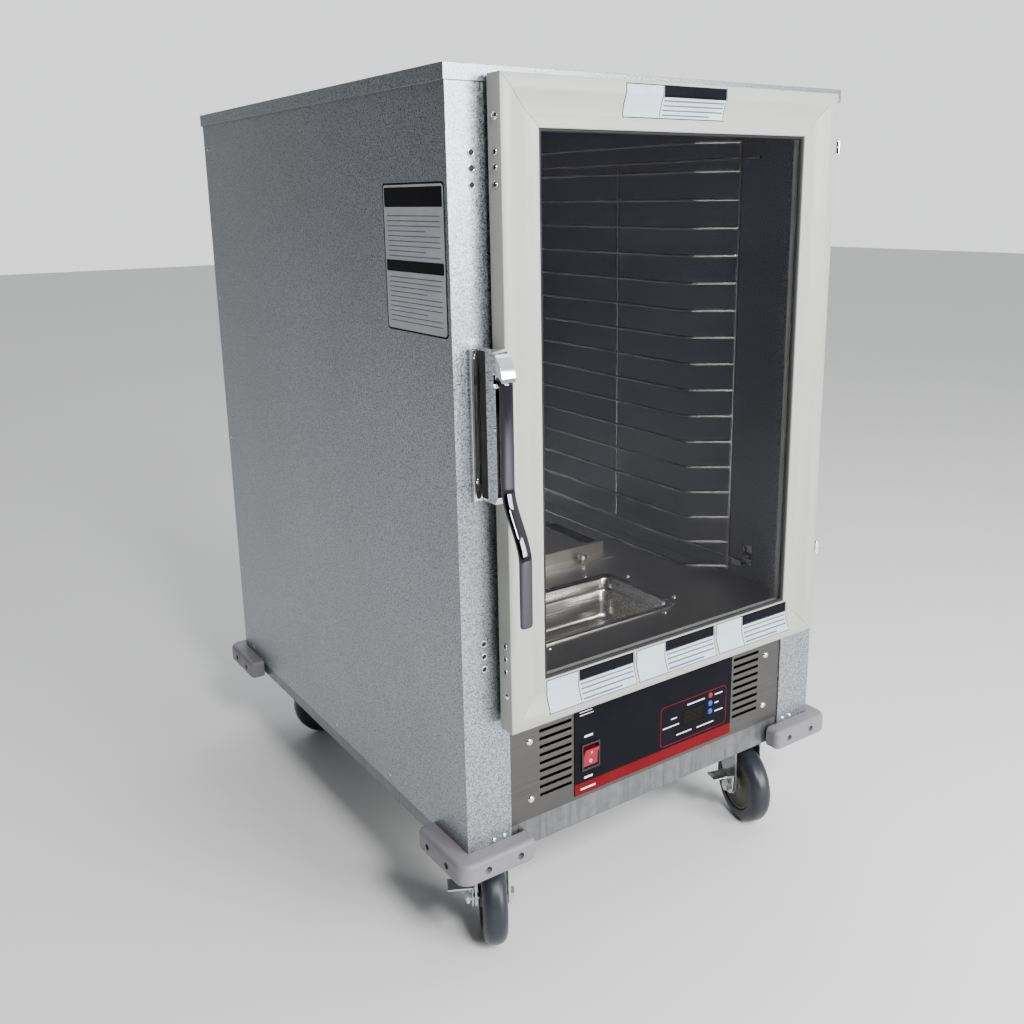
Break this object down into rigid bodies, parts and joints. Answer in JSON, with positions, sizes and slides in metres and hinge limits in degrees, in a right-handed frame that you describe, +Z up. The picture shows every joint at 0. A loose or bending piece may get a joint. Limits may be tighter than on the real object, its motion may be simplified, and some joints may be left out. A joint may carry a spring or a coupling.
{
  "type": "food holding cabinet",
  "caption": "Half-height heated holding cabinet on swivel casters, with a glazed hinged door, lever latch, wire pan slides, water pan and front controls under the door.",
  "frame": {"origin": "on the floor, under the middle of the whole object's box", "axes": "+Z up, +X to the cabinet's right as its user faces the door, and the door on the -Y side"},
  "size_m": [0.614, 0.8146, 1.009],
  "materials": {
    "shell": "stucco-embossed sheet, satin",
    "steel": "brushed sheet",
    "galvanised": "galvanised, dull",
    "door_frame": "satin light grey",
    "glass": "smoke tinted",
    "chrome": "polished",
    "wire": "bright plated wire",
    "zinc": "bright zinc plate",
    "bumper": "moulded grey",
    "tyre": "smooth dark grey",
    "rubber": "matt",
    "black_plastic": "satin",
    "overlay": "printed film",
    "display": "dark window",
    "red_plastic": "gloss",
    "blue_plastic": "gloss"
  },
  "bodies": {
    "cabinet": {"side_panel_left": "shell", "side_panel_right": "shell", "back_panel": "shell", "top_cap": "shell", "door_header": "shell", "base_frame": "galvanised", "inner_deck": "steel", "heater_cover": "steel", "heater_element": "steel", "blower_housing": "galvanised", "control_panel": "steel", "control_overlay": "overlay", "display_window": "display", "switch_bezel": "black_plastic", "control_module": "black_plastic", "hinge_leaf_frame_upper": "chrome", "hinge_leaf_frame_lower": "chrome", "strike_plate": "chrome", "wire_slides_left": "wire", "wire_slides_right": "wire", "slide_clip_front_left": "steel", "slide_clip_rear_left": "steel", "slide_clip_front_right": "steel", "slide_clip_rear_right": "steel", "bumper_front_left": "bumper", "bumper_front_right": "bumper", "bumper_rear_left": "bumper", "bumper_rear_right": "bumper", "cord_gland": "black_plastic", "caster_plate_front_left": "zinc", "caster_plate_front_right": "zinc", "caster_plate_rear_left": "zinc", "caster_plate_rear_right": "zinc"},
    "door": {"door_rail_top": "door_frame", "door_rail_bottom": "door_frame", "door_stile_latch": "door_frame", "door_stile_hinge": "door_frame", "door_glass": "glass", "door_gasket": "rubber", "hinge_leaf_door_upper": "chrome", "hinge_leaf_door_lower": "chrome", "latch_body": "chrome"},
    "latch_lever": {"latch_handle": "chrome"},
    "pan": {"water_pan": "steel"},
    "blower": {"blower_wheel": "steel"},
    "power_switch": {"power_rocker": "red_plastic"},
    "mode_key": {"button_mode": "red_plastic"},
    "up_key": {"button_up": "blue_plastic"},
    "down_key": {"button_down": "blue_plastic"},
    "caster_front_left": {"caster_fork_front_left": "zinc"},
    "caster_front_right": {"caster_fork_front_right": "zinc"},
    "caster_rear_left": {"caster_fork_rear_left": "zinc"},
    "caster_rear_right": {"caster_fork_rear_right": "zinc"},
    "wheel_front_left": {"caster_wheel_front_left": "tyre"},
    "wheel_front_right": {"caster_wheel_front_right": "tyre"},
    "wheel_rear_left": {"caster_wheel_rear_left": "tyre"},
    "wheel_rear_right": {"caster_wheel_rear_right": "tyre"},
    "brake_front_left": {"brake_pedal_front_left": "zinc"},
    "brake_front_right": {"brake_pedal_front_right": "zinc"}
  },
  "joints": [
    {"name": "door_hinge", "type": "hinge", "parent": "cabinet", "child": "door", "pos_m": [0.258, -0.35267, 0.653], "axis": [0, 0, 1], "range_deg": [0, 180]},
    {"name": "handle_pull", "type": "hinge", "parent": "door", "child": "latch_lever", "pos_m": [-0.2507, -0.36167, 0.69], "axis": [-1, 0, 0], "range_deg": [0, 15], "stiffness_Nm_per_rad": 1.5, "springref_deg": -5.73},
    {"name": "pan_lift", "type": "slide", "parent": "cabinet", "child": "pan", "axis": [0, 0, 1], "range_m": [0, 0.1]},
    {"name": "blower_spin", "type": "hinge", "parent": "cabinet", "child": "blower", "pos_m": [0, 0.14133, 0.22], "axis": [0, 0, 1], "continuous": true},
    {"name": "power_rock", "type": "hinge", "parent": "cabinet", "child": "power_switch", "pos_m": [-0.1085, -0.32617, 0.223], "axis": [-1, 0, 0], "range_deg": [0, 20]},
    {"name": "mode_press", "type": "slide", "parent": "cabinet", "child": "mode_key", "axis": [0, 1, 0], "range_m": [0, 0.0008], "stiffness_N_per_m": 400, "springref_m": -0.0005},
    {"name": "up_press", "type": "slide", "parent": "cabinet", "child": "up_key", "axis": [0, 1, 0], "range_m": [0, 0.0008], "stiffness_N_per_m": 400, "springref_m": -0.0005},
    {"name": "down_press", "type": "slide", "parent": "cabinet", "child": "down_key", "axis": [0, 1, 0], "range_m": [0, 0.0008], "stiffness_N_per_m": 400, "springref_m": -0.0005},
    {"name": "swivel_front_left", "type": "hinge", "parent": "cabinet", "child": "caster_front_left", "pos_m": [-0.213, -0.25667, 0.141], "axis": [0, 0, 1], "continuous": true},
    {"name": "swivel_front_right", "type": "hinge", "parent": "cabinet", "child": "caster_front_right", "pos_m": [0.213, -0.25667, 0.141], "axis": [0, 0, 1], "continuous": true},
    {"name": "swivel_rear_left", "type": "hinge", "parent": "cabinet", "child": "caster_rear_left", "pos_m": [-0.213, 0.31333, 0.141], "axis": [0, 0, 1], "continuous": true},
    {"name": "swivel_rear_right", "type": "hinge", "parent": "cabinet", "child": "caster_rear_right", "pos_m": [0.213, 0.31333, 0.141], "axis": [0, 0, 1], "continuous": true},
    {"name": "roll_front_left", "type": "hinge", "parent": "caster_front_left", "child": "wheel_front_left", "pos_m": [-0.22844, -0.28697, 0.056], "axis": [-0.891, 0.454, 0], "continuous": true},
    {"name": "roll_front_right", "type": "hinge", "parent": "caster_front_right", "child": "wheel_front_right", "pos_m": [0.2042, -0.28951, 0.056], "axis": [-0.9659, 0.2588, 0], "continuous": true},
    {"name": "roll_rear_left", "type": "hinge", "parent": "caster_rear_left", "child": "wheel_rear_left", "pos_m": [-0.179, 0.31333, 0.056], "axis": [0, -1, 0], "continuous": true},
    {"name": "roll_rear_right", "type": "hinge", "parent": "caster_rear_right", "child": "wheel_rear_right", "pos_m": [0.22463, 0.28138, 0.056], "axis": [-0.9397, -0.342, 0], "continuous": true},
    {"name": "brake_press_front_left", "type": "hinge", "parent": "caster_front_left", "child": "brake_front_left", "pos_m": [-0.22844, -0.28697, 0.056], "axis": [-0.891, 0.454, 0], "range_deg": [0, 30]},
    {"name": "brake_press_front_right", "type": "hinge", "parent": "caster_front_right", "child": "brake_front_right", "pos_m": [0.2042, -0.28951, 0.056], "axis": [-0.9659, 0.2588, 0], "range_deg": [0, 30]}
  ]
}
